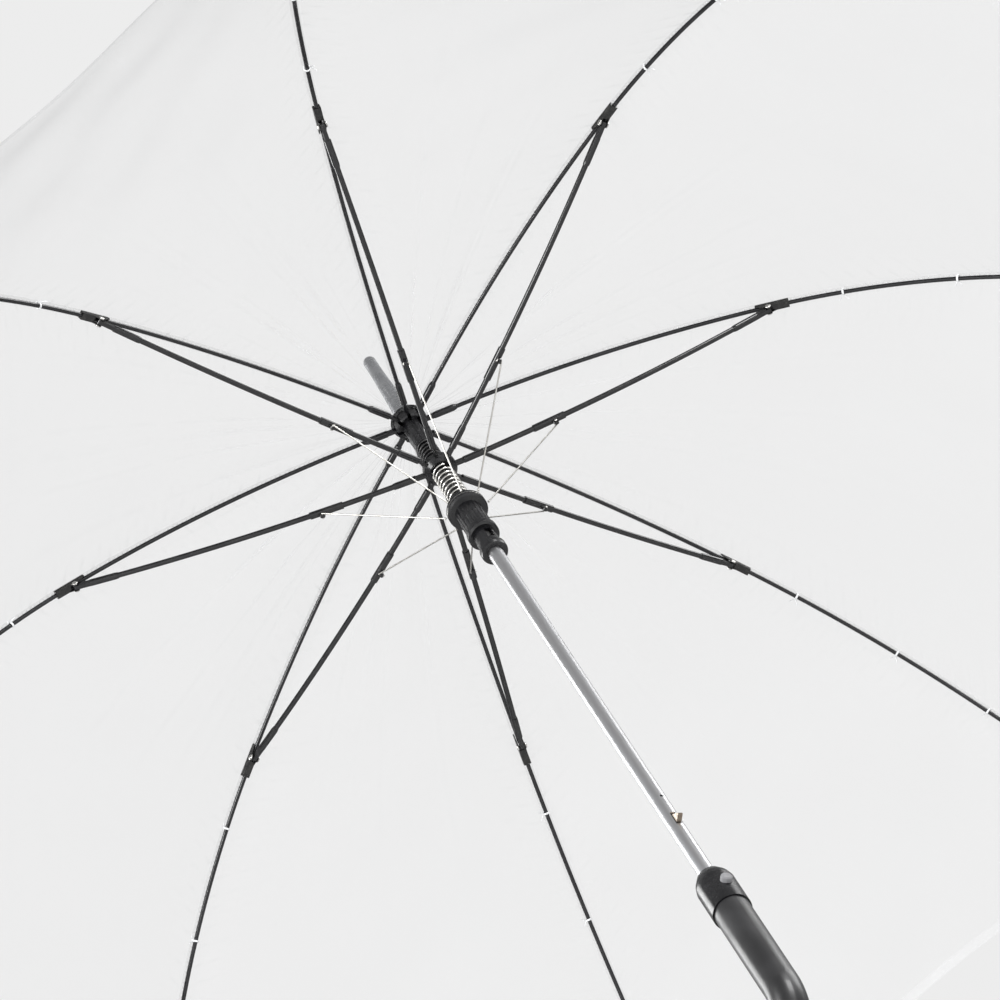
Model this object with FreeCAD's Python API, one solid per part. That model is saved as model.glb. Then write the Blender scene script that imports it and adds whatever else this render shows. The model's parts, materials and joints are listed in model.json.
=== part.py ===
import FreeCAD, Part
import math
import os

# Stick umbrella with a clear film canopy, eight arms and a spring that throws it open.
# Row frame: +Z runs up the shaft, the origin is the middle of the grip, and the release
# button faces +X.  Millimetres and degrees throughout.  The umbrella is modelled open.
# Each arm is drawn in a plane: first number is the radius from the shaft axis, second is
# the height over the crown's hinge ring.  The arm is then turned about Z to its place.

V = FreeCAD.Vector
UP = V(0, 0, 1)
ACROSS = V(0, 1, 0)
CENTRE = V(0, 0, 0)

# ---------------------------------------------------------------- driving dimensions
ARMS = 8
FIRST_ARM_ANGLE = -22.5
CROWN_HEIGHT = 670.0

SHAFT_DIAMETER = 10.0
SHAFT_WALL = 0.8
SHAFT_TOP = 14.0
SHAFT_FOOT = -58.0
FIXED_CLEARANCE = 0.05
SLIDING_CLEARANCE = 0.25
HINGE_CLEARANCE = 0.08
SIDE_CLEARANCE = 0.2

HINGE_RING_RADIUS = 9.0
HINGE_WIRE = 1.2
LINK_LENGTH = 242.0
OPEN_GAP = 69.0
CLOSED_ANGLE = 2.5
JOINT_DROP = 3.6

RIB_DIAMETER = 2.8
RIB_ARC_RADIUS = 720.0
OUTER_ARC_RADIUS = 400.0
OUTER_ARC_LENGTH = 180.0
EDGE_ARC_RADIUS = 700.0
EDGE_ARC_LENGTH = 168.0
ROD_GAP = 1.2
TIP_CAP_DIAMETER = 4.4
TIP_CAP_LENGTH = 12.0

EYE_RADIUS = 2.2
BLADE_THICKNESS = 2.0
BLADE_LENGTH = 8.0
FITTING_DIAMETER = 4.6
FITTING_LENGTH = 22.0
SLEEVE_MOUTH = 0.3
MOUTH_LENGTH = 2.0

STRETCHER_DIAMETER = 3.6
STRETCHER_BOW = 5.9
TONGUE_RADIUS = 1.9
TONGUE_THICKNESS = 2.8
TONGUE_LENGTH = 10.0
JOINT_SLEEVE_LENGTH = 17.0

RIVET_DIAMETER = 2.0
RIVET_HEAD_DIAMETER = 3.4
RIVET_HEAD_HEIGHT = 0.7
BRACKET_CHEEK = 0.6
CHEEK_PLAY = 0.6
BRACKET_BEHIND = 8.0
BRACKET_AHEAD = 15.0
BRACKET_BLOCK_START = 4.0
KNUCKLE_RADIUS = 2.1
KNUCKLE_SIDE = 1.6
BRACKET_NOSE = 0.4
BRACKET_ROOF = 0.5

CLAMP_PLACE = 74.0
CLAMP_BEHIND = 15.0
CLAMP_AHEAD = 8.0
CLAMP_DIAMETER = 4.9
LUG_DROP = 4.5
LUG_RADIUS = 1.7
LUG_THICKNESS = 2.0
LINK_WIRE = 1.0
LINK_BEAD = 1.6
LINK_FOOT_RADIUS = 15.2
RUNNER_GAP = 60.8

CROWN_RADIUS = 10.8
CROWN_ABOVE = 4.0
CROWN_BELOW = 6.0
CROWN_SLEEVE_END = -36.0
CROWN_SLEEVE_TOP_RADIUS = 7.5
CROWN_SLEEVE_END_RADIUS = 6.7
SLOT_FLOOR_RADIUS = 6.4
CROWN_PIN_PLACE = -28.0
CROSS_PIN_DIAMETER = 1.6

HUB_RADIUS = 11.4
HUB_SKIRT_RADIUS = 8.6
HUB_SKIRT_TOP = -1.5
HUB_ABOVE = 4.0
HUB_BELOW = 5.0
HUB_NECK_RADIUS = 7.6
HUB_NECK_TOP = 9.0

SPRING_END_GAP = 0.3
BUFFER_SPRING_DIAMETER = 14.0
BUFFER_WIRE = 1.3
BUFFER_TURNS = 5
OPENING_SPRING_DIAMETER = 14.7
OPENING_WIRE = 1.4
OPENING_TURNS = 13

RUNNER_TOP = 9.0
RUNNER_RIM_RADIUS = 11.6
RUNNER_POCKET_DEPTH = 15.0
RUNNER_FLANGE_RADIUS = 13.5
RUNNER_FLANGE_THICKNESS = 3.5
RUNNER_BODY_RADIUS = 9.3
RUNNER_BODY_END = 33.0
RUNNER_LIP_RADIUS = 10.45
RUNNER_LIP_END = 39.0
RUNNER_NECK_RADIUS = 7.5
RUNNER_NECK_END = 55.0
RUNNER_COLLAR_RADIUS = 8.95
RUNNER_END = 63.0
RUNNER_FLUTES = 20
RUNNER_FLUTE_RADIUS = 0.8
LOWER_RING_WIRE = 1.2
WINDOW_WIDTH = 5.0
WINDOW_TOP = 41.0
WINDOW_END = 52.0

CANOPY_OFFSET = 3.0
CANOPY_THICKNESS = 0.4
CANOPY_HOLE_RADIUS = 5.6
CANOPY_INNER_STEPS = 8
CANOPY_OUTER_STEPS = 12
CAP_RADIUS = 12.5
CAP_THICKNESS = 1.0

TIP_HEIGHT = 104.0
TIP_FOOT_RADIUS = 8.5
TIP_FOOT_HEIGHT = 2.0
TIP_SLEEVE_RADIUS = 6.0
TIP_SLEEVE_HEIGHT = 14.0
TIP_END_RADIUS = 4.4
TIP_STRAIGHT = 18.0

NOSE_RADIUS = 10.6
NOSE_HEIGHT = 11.0
NOSE_LIP = 1.0
LEAF_THICKNESS = 1.2
LEAF_FACE = 3.6
LEAF_WIDTH = 3.0
LEAF_EYE_RADIUS = 1.6
LEAF_PIVOT_HEIGHT = -50.0
SLOT_SIDE_CLEARANCE = 0.3
SHAFT_HOLE_DIAMETER = 2.2
SHAFT_HOLE_PLACE = -522.0

COLLAR_TOP = 58.0
COLLAR_SHOULDER = 52.0
COLLAR_FOOT = 20.0
COLLAR_RADIUS = 12.0
COLLAR_TOP_RADIUS = 8.5
BUTTON_HEIGHT = 36.0
BUTTON_DIAMETER = 7.0
BUTTON_STEM = 3.0
BUTTON_PROUD = 3.2
BUTTON_HEAD_DEPTH = 5.2

HANDLE_RADIUS = 11.0
GRIP_FOOT = -62.0
CROOK_RADIUS = 36.0
CROOK_TAIL = 24.0

# ---------------------------------------------------------------- worked-out places
SHAFT_RADIUS = SHAFT_DIAMETER / 2
RIB_RADIUS = RIB_DIAMETER / 2
STRETCHER_RADIUS = STRETCHER_DIAMETER / 2
HALF_GAP = OPEN_GAP / 2
JOINT_RADIUS = HINGE_RING_RADIUS + math.sqrt(LINK_LENGTH ** 2 - HALF_GAP ** 2)
OPEN_ANGLE = math.degrees(math.acos(HALF_GAP / LINK_LENGTH))
FOLD_ANGLE = OPEN_ANGLE - CLOSED_ANGLE
CROWN_PIN = (HINGE_RING_RADIUS, 0.0)
HUB_PIN = (HINGE_RING_RADIUS, -OPEN_GAP)
JOINT_PIN = (JOINT_RADIUS, -HALF_GAP)
RING_PLACE = -OPEN_GAP - RUNNER_GAP
SLOT_WIDTH = BLADE_THICKNESS + 2 * SIDE_CLEARANCE


def arc_between(start, end, radius):
    """Heading at the start and length of an arc of this radius that bows upwards."""
    across = end[0] - start[0]
    rise = end[1] - start[1]
    chord = math.hypot(across, rise)
    half_turn = math.asin(chord / (2 * radius))
    return math.atan2(rise, across) + half_turn, 2 * half_turn * radius


def along_arc(start, heading, radius, length):
    """Place and heading after this length of an arc that turns downwards."""
    end_heading = heading - length / radius
    across = start[0] + radius * (math.sin(heading) - math.sin(end_heading))
    rise = start[1] + radius * (math.cos(end_heading) - math.cos(heading))
    return (across, rise), end_heading


ROD_JOINT = (JOINT_RADIUS, JOINT_DROP - HALF_GAP)
RIB_HEADING, RIB_LENGTH = arc_between(CROWN_PIN, ROD_JOINT, RIB_ARC_RADIUS)
JOINT_HEADING = RIB_HEADING - RIB_LENGTH / RIB_ARC_RADIUS


def rib_point(distance):
    """Place and heading on the rib's centreline, by distance from the crown pin."""
    if distance <= RIB_LENGTH:
        return along_arc(CROWN_PIN, RIB_HEADING, RIB_ARC_RADIUS, distance)
    beyond = distance - RIB_LENGTH
    place, heading = along_arc(ROD_JOINT, JOINT_HEADING, OUTER_ARC_RADIUS,
                               min(beyond, OUTER_ARC_LENGTH))
    if beyond <= OUTER_ARC_LENGTH:
        return place, heading
    return along_arc(place, heading, EDGE_ARC_RADIUS, beyond - OUTER_ARC_LENGTH)


RIB_FULL_LENGTH = RIB_LENGTH + OUTER_ARC_LENGTH + EDGE_ARC_LENGTH

STRETCHER_ARC_RADIUS = (LINK_LENGTH ** 2 / 4 + STRETCHER_BOW ** 2) / (2 * STRETCHER_BOW)
STRETCHER_HALF_TURN = math.asin(LINK_LENGTH / 2 / STRETCHER_ARC_RADIUS)
STRETCHER_CHORD = math.asin(HALF_GAP / LINK_LENGTH)
STRETCHER_LENGTH = 2 * STRETCHER_HALF_TURN * STRETCHER_ARC_RADIUS


def stretcher_point(distance):
    """Place and heading on the stretcher's centreline, by distance from the hub pin."""
    turn = distance / STRETCHER_ARC_RADIUS
    heading = STRETCHER_CHORD - STRETCHER_HALF_TURN
    across = STRETCHER_ARC_RADIUS * (math.sin(heading + turn) - math.sin(heading))
    rise = STRETCHER_ARC_RADIUS * (math.cos(heading) - math.cos(heading + turn))
    return (HUB_PIN[0] + across, HUB_PIN[1] + rise), heading + turn


def beside(place, heading, offset):
    """The point at this offset from a centreline, upwards when positive."""
    return (place[0] - offset * math.sin(heading), place[1] + offset * math.cos(heading))


def turned_about(point, pivot, angle):
    """The point turned about a pivot in the arm's plane, outer end upwards."""
    across = point[0] - pivot[0]
    rise = point[1] - pivot[1]
    return (pivot[0] + across * math.cos(angle) - rise * math.sin(angle),
            pivot[1] + across * math.sin(angle) + rise * math.cos(angle))


CLAMP_CENTRE, CLAMP_HEADING = stretcher_point(CLAMP_PLACE)
LINK_PIN = beside(CLAMP_CENTRE, CLAMP_HEADING, -LUG_DROP)
LINK_FOOT = (LINK_FOOT_RADIUS, RING_PLACE)
LINK_LENGTH_WIRE = math.hypot(LINK_PIN[0] - LINK_FOOT[0], LINK_PIN[1] - LINK_FOOT[1])
CLOSED_GAP = 2 * LINK_LENGTH * math.cos(math.radians(CLOSED_ANGLE))
CLOSED_LINK_PIN = turned_about(LINK_PIN, HUB_PIN, math.radians(FOLD_ANGLE))
CLOSED_LINK_PIN = (CLOSED_LINK_PIN[0], CLOSED_LINK_PIN[1] + OPEN_GAP - CLOSED_GAP)
CLOSED_RING_PLACE = CLOSED_LINK_PIN[1] - math.sqrt(
    LINK_LENGTH_WIRE ** 2 - (CLOSED_LINK_PIN[0] - LINK_FOOT_RADIUS) ** 2)
NOSE_FOOT = CROWN_HEIGHT + CLOSED_RING_PLACE - WINDOW_END + SLOT_SIDE_CLEARANCE
RUNNER_BORE_RADIUS = SHAFT_RADIUS + SLIDING_CLEARANCE
RUNNER_POCKET_RADIUS = OPENING_SPRING_DIAMETER / 2 + SLIDING_CLEARANCE
FIXED_BORE_RADIUS = SHAFT_RADIUS + FIXED_CLEARANCE


# ---------------------------------------------------------------- shape helpers
def at_crown(point, side=0.0):
    """A point of the arm's plane as a point in the row frame."""
    return V(point[0], side, CROWN_HEIGHT + point[1])


def cylinder(radius, low, high):
    """A solid cylinder on the shaft axis between two heights."""
    return Part.makeCylinder(radius, high - low, V(0, 0, low), UP)


def turned(outline):
    """A solid turned about the shaft axis from (radius, height) points."""
    points = [V(radius, 0, height) for radius, height in outline]
    face = Part.Face(Part.makePolygon(points + points[:1]))
    return face.revolve(CENTRE, UP, 360)


def plate(outline, thickness, middle=0.0):
    """A plate in the arm's plane, its outline given as row points, centred across it."""
    points = [V(p.x, middle - thickness / 2, p.z) for p in outline]
    face = Part.Face(Part.makePolygon(points + points[:1]))
    return face.extrude(V(0, thickness, 0))


def cross_cylinder(centre, radius, thickness, middle=0.0):
    """A cylinder across the arm's plane."""
    base = V(centre.x, middle - thickness / 2, centre.z)
    return Part.makeCylinder(radius, thickness, base, ACROSS)


def arc_rod(start, heading, radius, length, diameter):
    """A round rod along an arc; a negative radius bows downwards."""
    bend = abs(radius)
    side = 1 if radius > 0 else -1
    middle = V(start[0] + side * bend * math.sin(heading), 0,
               CROWN_HEIGHT + start[1] - side * bend * math.cos(heading))
    direction = V(math.cos(heading), 0, math.sin(heading))
    disc = Part.Face(Part.Wire(Part.makeCircle(diameter / 2, at_crown(start), direction)))
    return disc.revolve(middle, V(0, side, 0), math.degrees(length / bend))


def sleeve_between(first, second, radius):
    """A straight sleeve between two points of the arm's plane."""
    start = at_crown(first)
    run = at_crown(second) - start
    return Part.makeCylinder(radius, run.Length, start, run)


def fitting_sleeve(first, second, mouth_radius):
    """A straight sleeve over a rod's end, with a short tapered mouth on the same axis."""
    start = at_crown(first)
    end = at_crown(second)
    run = end - start
    straight = Part.makeCylinder(FITTING_DIAMETER / 2, run.Length, start, run)
    mouth = Part.makeCone(FITTING_DIAMETER / 2, mouth_radius, MOUTH_LENGTH, end, run)
    return straight.fuse(mouth)


def ring(centre_radius, wire, height):
    """A ring of round wire about the shaft axis."""
    return Part.makeTorus(centre_radius, wire / 2, V(0, 0, height), UP)


def coil_spring(outer_diameter, wire, turns, low, high):
    """A compression spring about the shaft axis between two heights."""
    radius = (outer_diameter - wire) / 2
    rise = high - low - wire
    helix = Part.makeHelix(rise / turns, rise, radius)
    section = Part.Wire(Part.makeCircle(wire / 2, V(radius, 0, 0), ACROSS))
    coil = Part.Wire(helix).makePipeShell([section], True, True)
    coil.translate(V(0, 0, low + wire / 2))
    return coil


def about_shaft(shape, angle):
    """A copy of a shape turned about the shaft axis."""
    copy = shape.copy()
    copy.rotate(CENTRE, UP, angle)
    return copy


def save(name, *solids):
    """Writes one node: one solid, or several separate solids as a group."""
    shape = solids[0] if len(solids) == 1 else Part.makeCompound(list(solids))
    shape.exportStep("parts/" + name + ".step")


def arm_angle(arm):
    return FIRST_ARM_ANGLE + (arm - 1) * 360.0 / ARMS


def save_arms(name, *solids):
    """Writes the same sub-part once for each arm, numbered from 1."""
    for arm in range(1, ARMS + 1):
        save(name + "_" + str(arm), *[about_shaft(solid, arm_angle(arm)) for solid in solids])


def arm_slots(floor, low, high, reach):
    """The radial slots that the arms' eyes swing in."""
    slot = Part.makeBox(reach - floor, SLOT_WIDTH, high - low, V(floor, -SLOT_WIDTH / 2, low))
    return [about_shaft(slot, arm_angle(arm)) for arm in range(1, ARMS + 1)]


def flutes(count, circle, radius, low, high, start_angle):
    """Round-bottomed grooves along a turned body."""
    groove = Part.makeCylinder(radius, high - low, V(circle, 0, low), UP)
    return [about_shaft(groove, start_angle + i * 360.0 / count) for i in range(count)]


# ---------------------------------------------------------------- shaft, crown and tip
def make_shaft():
    tube = cylinder(SHAFT_RADIUS, SHAFT_FOOT, CROWN_HEIGHT + SHAFT_TOP)
    tube = tube.cut(cylinder(SHAFT_RADIUS - SHAFT_WALL, SHAFT_FOOT, CROWN_HEIGHT + SHAFT_TOP))
    slot_width = LEAF_WIDTH + 2 * SLOT_SIDE_CLEARANCE
    slot_low = NOSE_FOOT - NOSE_LIP
    slot = Part.makeBox(SHAFT_DIAMETER, slot_width, NOSE_HEIGHT + 2 * NOSE_LIP,
                        V(0, -slot_width / 2, slot_low))
    button_hole = Part.makeCylinder(BUTTON_STEM / 2 + SIDE_CLEARANCE, SHAFT_DIAMETER,
                                    V(0, 0, BUTTON_HEIGHT), V(1, 0, 0))
    sight_hole = Part.makeCylinder(SHAFT_HOLE_DIAMETER / 2, SHAFT_DIAMETER,
                                   V(0, 0, CROWN_HEIGHT + SHAFT_HOLE_PLACE), V(1, 0, 0))
    return tube.cut([slot, button_hole, sight_hole, leaf_pin(FIXED_CLEARANCE),
                     crown_pin(FIXED_CLEARANCE)])


def leaf_pin(clearance=0.0):
    half = SHAFT_RADIUS - FIXED_CLEARANCE + 2 * clearance
    return Part.makeCylinder(CROSS_PIN_DIAMETER / 2 + clearance, 2 * half,
                             V(0, -half, LEAF_PIVOT_HEIGHT), ACROSS)


def crown_pin(clearance=0.0):
    length = 2 * CROWN_SLEEVE_END_RADIUS
    return Part.makeCylinder(CROSS_PIN_DIAMETER / 2 + clearance, length,
                             V(-length / 2, 0, CROWN_HEIGHT + CROWN_PIN_PLACE), V(1, 0, 0))


def make_crown():
    body = turned([
        (FIXED_BORE_RADIUS, CROWN_HEIGHT + CROWN_SLEEVE_END),
        (CROWN_SLEEVE_END_RADIUS, CROWN_HEIGHT + CROWN_SLEEVE_END),
        (CROWN_SLEEVE_TOP_RADIUS, CROWN_HEIGHT - CROWN_BELOW),
        (CROWN_RADIUS - 1.0, CROWN_HEIGHT - CROWN_BELOW),
        (CROWN_RADIUS, CROWN_HEIGHT - CROWN_BELOW + 1.0),
        (CROWN_RADIUS, CROWN_HEIGHT + CROWN_ABOVE - 1.0),
        (CROWN_RADIUS - 1.0, CROWN_HEIGHT + CROWN_ABOVE),
        (FIXED_BORE_RADIUS, CROWN_HEIGHT + CROWN_ABOVE),
    ])
    slot_top = CROWN_HEIGHT + EYE_RADIUS + 2 * SIDE_CLEARANCE
    slots = arm_slots(SLOT_FLOOR_RADIUS, CROWN_HEIGHT - 2.5 * BLADE_LENGTH, slot_top,
                      CROWN_RADIUS + 1.0)
    groove = ring(HINGE_RING_RADIUS, HINGE_WIRE + 2 * FIXED_CLEARANCE, CROWN_HEIGHT)
    grooves = flutes(2 * ARMS, CROWN_SLEEVE_TOP_RADIUS + 0.2, 0.6,
                     CROWN_HEIGHT + CROWN_SLEEVE_END, CROWN_HEIGHT - CROWN_BELOW,
                     FIRST_ARM_ANGLE + 90.0 / ARMS)
    return body.cut(slots + grooves).cut([groove, crown_pin(FIXED_CLEARANCE)])


def make_tip_ferrule():
    foot = CROWN_HEIGHT + CROWN_ABOVE + CANOPY_LAYER + CAP_THICKNESS + 2 * FIXED_CLEARANCE
    sleeve_top = foot + TIP_FOOT_HEIGHT + TIP_SLEEVE_HEIGHT
    dome = CROWN_HEIGHT + TIP_HEIGHT - TIP_END_RADIUS
    body = turned([
        (0, foot),
        (TIP_FOOT_RADIUS, foot),
        (TIP_FOOT_RADIUS, foot + TIP_FOOT_HEIGHT - 0.8),
        (TIP_FOOT_RADIUS - 0.8, foot + TIP_FOOT_HEIGHT),
        (TIP_SLEEVE_RADIUS, foot + TIP_FOOT_HEIGHT),
        (TIP_SLEEVE_RADIUS, sleeve_top),
        (TIP_END_RADIUS, dome - TIP_STRAIGHT),
        (TIP_END_RADIUS, dome),
        (0, dome),
    ])
    body = body.fuse(Part.makeSphere(TIP_END_RADIUS, V(0, 0, dome)))
    return body.cut(cylinder(FIXED_BORE_RADIUS, foot - 1, CROWN_HEIGHT + SHAFT_TOP + 0.2))


# ---------------------------------------------------------------- runners and springs
def make_upper_runner():
    pin = CROWN_HEIGHT + HUB_PIN[1]
    body = turned([
        (RUNNER_BORE_RADIUS, pin - HUB_BELOW),
        (HUB_SKIRT_RADIUS, pin - HUB_BELOW),
        (HUB_RADIUS, pin + HUB_SKIRT_TOP),
        (HUB_RADIUS, pin + HUB_ABOVE - 1.2),
        (HUB_RADIUS - 1.2, pin + HUB_ABOVE),
        (HUB_NECK_RADIUS, pin + HUB_ABOVE),
        (HUB_NECK_RADIUS, pin + HUB_NECK_TOP),
        (RUNNER_BORE_RADIUS, pin + HUB_NECK_TOP),
    ])
    slots = arm_slots(SLOT_FLOOR_RADIUS, pin - EYE_RADIUS - 2 * SIDE_CLEARANCE,
                      pin + HUB_NECK_TOP + 1.0, HUB_RADIUS + 1.0)
    groove = ring(HINGE_RING_RADIUS, HINGE_WIRE + 2 * FIXED_CLEARANCE, pin)
    return body.cut(slots).cut(groove)


def make_lower_runner():
    at = CROWN_HEIGHT + RING_PLACE
    rim_step = (RUNNER_RIM_RADIUS + RUNNER_POCKET_RADIUS) / 2
    groove_radius = RUNNER_FLANGE_RADIUS - LOWER_RING_WIRE / 2
    body = turned([
        (RUNNER_BORE_RADIUS, at - RUNNER_END),
        (RUNNER_COLLAR_RADIUS - 1.6, at - RUNNER_END),
        (RUNNER_COLLAR_RADIUS - 0.5, at - RUNNER_END + 0.6),
        (RUNNER_COLLAR_RADIUS, at - RUNNER_END + 2.0),
        (RUNNER_COLLAR_RADIUS, at - RUNNER_NECK_END - 2.0),
        (RUNNER_NECK_RADIUS, at - RUNNER_NECK_END),
        (RUNNER_NECK_RADIUS, at - RUNNER_LIP_END),
        (RUNNER_LIP_RADIUS - 1.2, at - RUNNER_LIP_END),
        (RUNNER_LIP_RADIUS, at - RUNNER_LIP_END + 1.2),
        (RUNNER_LIP_RADIUS, at - RUNNER_BODY_END),
        (RUNNER_BODY_RADIUS, at - RUNNER_BODY_END + 1.5),
        (RUNNER_BODY_RADIUS, at - RUNNER_FLANGE_THICKNESS - 1.0),
        (RUNNER_FLANGE_RADIUS - 1.0, at - RUNNER_FLANGE_THICKNESS),
        (RUNNER_FLANGE_RADIUS, at - RUNNER_FLANGE_THICKNESS + 1.0),
        (RUNNER_FLANGE_RADIUS, at + 2.0),
        (RUNNER_RIM_RADIUS, at + 3.0),
        (RUNNER_RIM_RADIUS, at + RUNNER_TOP - 3.0),
        (rim_step, at + RUNNER_TOP - 2.0),
        (rim_step, at + RUNNER_TOP),
        (RUNNER_POCKET_RADIUS, at + RUNNER_TOP),
        (RUNNER_POCKET_RADIUS, at - RUNNER_POCKET_DEPTH),
        (RUNNER_BORE_RADIUS, at - RUNNER_POCKET_DEPTH),
    ])
    grooves = flutes(RUNNER_FLUTES, RUNNER_BODY_RADIUS + 0.3, RUNNER_FLUTE_RADIUS,
                     at - RUNNER_BODY_END + 1.5, at - RUNNER_FLANGE_THICKNESS - 1.0, 0.0)
    window = Part.makeBox(RUNNER_COLLAR_RADIUS + 4.0, WINDOW_WIDTH, WINDOW_END - WINDOW_TOP,
                          V(0, -WINDOW_WIDTH / 2, at - WINDOW_END))
    ring_groove = ring(groove_radius, LOWER_RING_WIRE + 2 * FIXED_CLEARANCE, at)
    return body.cut(grooves + [window]).cut(ring_groove)


def make_lower_ring():
    return ring(RUNNER_FLANGE_RADIUS - LOWER_RING_WIRE / 2, LOWER_RING_WIRE,
                CROWN_HEIGHT + RING_PLACE)


def make_opening_spring():
    high = CROWN_HEIGHT - OPEN_GAP - HUB_BELOW - SPRING_END_GAP
    low = CROWN_HEIGHT + RING_PLACE - RUNNER_POCKET_DEPTH + SPRING_END_GAP
    return coil_spring(OPENING_SPRING_DIAMETER, OPENING_WIRE, OPENING_TURNS, low, high)


def make_buffer_spring():
    high = CROWN_HEIGHT + CROWN_SLEEVE_END - SPRING_END_GAP
    low = CROWN_HEIGHT - OPEN_GAP + HUB_NECK_TOP + SPRING_END_GAP
    return coil_spring(BUFFER_SPRING_DIAMETER, BUFFER_WIRE, BUFFER_TURNS, low, high)


# ---------------------------------------------------------------- one arm
def end_fitting(pin, point_at, rod_radius, bore):
    """Flat eye on the hinge ring, then a round sleeve over the rod's end."""
    place, heading = point_at(0.0)
    far, far_heading = point_at(BLADE_LENGTH + 1.0)
    flat = EYE_RADIUS
    outline = [at_crown(beside(place, heading, flat)), at_crown(beside(far, far_heading, flat)),
               at_crown(beside(far, far_heading, -flat)), at_crown(beside(place, heading, -flat))]
    blade = plate(outline, BLADE_THICKNESS)
    blade = blade.fuse(cross_cylinder(at_crown(pin), EYE_RADIUS, BLADE_THICKNESS))
    sleeve_start = point_at(BLADE_LENGTH)[0]
    sleeve_end = point_at(FITTING_LENGTH)[0]
    sleeve = fitting_sleeve(sleeve_start, sleeve_end, rod_radius + SLEEVE_MOUTH)
    hole = cross_cylinder(at_crown(pin), HINGE_WIRE / 2 + 2 * HINGE_CLEARANCE, 2 * SLOT_WIDTH)
    return blade.fuse(sleeve).cut([hole, bore])


def inner_rod(clearance=0.0):
    """Fibreglass rod from inside the root fitting to the knee."""
    place, heading = rib_point(BLADE_LENGTH + 2.0)
    length = RIB_LENGTH - BLADE_LENGTH - 2.0 - ROD_GAP
    return arc_rod(place, heading, RIB_ARC_RADIUS, length, RIB_DIAMETER + 2 * clearance)


def root_fitting():
    return end_fitting(CROWN_PIN, rib_point, RIB_RADIUS, inner_rod(FIXED_CLEARANCE))


def outer_rod():
    """Fibreglass rod from the knee to the canopy's edge, in two arcs."""
    place, heading = rib_point(RIB_LENGTH + ROD_GAP)
    bend, bend_heading = rib_point(RIB_LENGTH + OUTER_ARC_LENGTH)
    near = arc_rod(place, heading, OUTER_ARC_RADIUS, OUTER_ARC_LENGTH - ROD_GAP, RIB_DIAMETER)
    far = arc_rod(bend, bend_heading, EDGE_ARC_RADIUS, EDGE_ARC_LENGTH, RIB_DIAMETER)
    return near.fuse(far)


def tip_cap():
    """Moulded cap on the rib's end, which holds the corner of the film."""
    start = rib_point(RIB_FULL_LENGTH - TIP_CAP_LENGTH + TIP_CAP_DIAMETER / 2)[0]
    end = rib_point(RIB_FULL_LENGTH)[0]
    body = sleeve_between(start, end, TIP_CAP_DIAMETER / 2)
    return body.fuse(Part.makeSphere(TIP_CAP_DIAMETER / 2, at_crown(end)))


def bracket_point(along, height):
    """A point beside the knee, measured along and square to the rod's heading."""
    place = (ROD_JOINT[0] + along * math.cos(JOINT_HEADING),
             ROD_JOINT[1] + along * math.sin(JOINT_HEADING))
    return at_crown(beside(place, JOINT_HEADING, height))


def bracket_gap():
    """Room between the cheeks for the stretcher's tongue."""
    return TONGUE_THICKNESS + 2 * SIDE_CLEARANCE + CHEEK_PLAY


def make_bracket():
    """Clip on the knee: two cheeks with round knuckles, and a block that grips the outer rod."""
    gap = bracket_gap()
    offset = (gap + BRACKET_CHEEK) / 2
    roof = RIB_RADIUS + BRACKET_ROOF
    pin_along = -JOINT_DROP * math.sin(JOINT_HEADING)
    outline = [bracket_point(-BRACKET_BEHIND, roof - BRACKET_NOSE),
               bracket_point(-BRACKET_BEHIND + 1.0, roof),
               bracket_point(BRACKET_AHEAD, roof), bracket_point(BRACKET_AHEAD, -roof),
               bracket_point(BRACKET_BLOCK_START + 2.0, -roof),
               bracket_point(pin_along + KNUCKLE_SIDE, -JOINT_DROP),
               bracket_point(pin_along - KNUCKLE_SIDE, -JOINT_DROP),
               bracket_point(-BRACKET_BEHIND, -BRACKET_NOSE)]
    clip = plate([bracket_point(BRACKET_BLOCK_START, roof), bracket_point(BRACKET_AHEAD, roof),
                  bracket_point(BRACKET_AHEAD, -roof),
                  bracket_point(BRACKET_BLOCK_START, -roof)], gap)
    for side in (-1, 1):
        knuckle = cross_cylinder(at_crown(JOINT_PIN), KNUCKLE_RADIUS, BRACKET_CHEEK,
                                 side * offset)
        clip = clip.fuse([plate(outline, BRACKET_CHEEK, side * offset), knuckle])
    place, heading = rib_point(RIB_LENGTH)
    bore = arc_rod(place, heading, OUTER_ARC_RADIUS, 2 * BRACKET_AHEAD,
                   RIB_DIAMETER + 2 * FIXED_CLEARANCE)
    pin_hole = cross_cylinder(at_crown(JOINT_PIN), RIVET_DIAMETER / 2 + FIXED_CLEARANCE, 20.0)
    return clip.cut([bore, pin_hole])


def make_rivet():
    width = bracket_gap() + 2 * BRACKET_CHEEK
    centre = at_crown(JOINT_PIN)
    pin = cross_cylinder(centre, RIVET_DIAMETER / 2, width + 2 * RIVET_HEAD_HEIGHT)
    head_place = (width + RIVET_HEAD_HEIGHT) / 2 + FIXED_CLEARANCE
    for side in (-1, 1):
        head = cross_cylinder(centre, RIVET_HEAD_DIAMETER / 2, RIVET_HEAD_HEIGHT,
                              side * head_place)
        pin = pin.fuse(head)
    return pin


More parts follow.
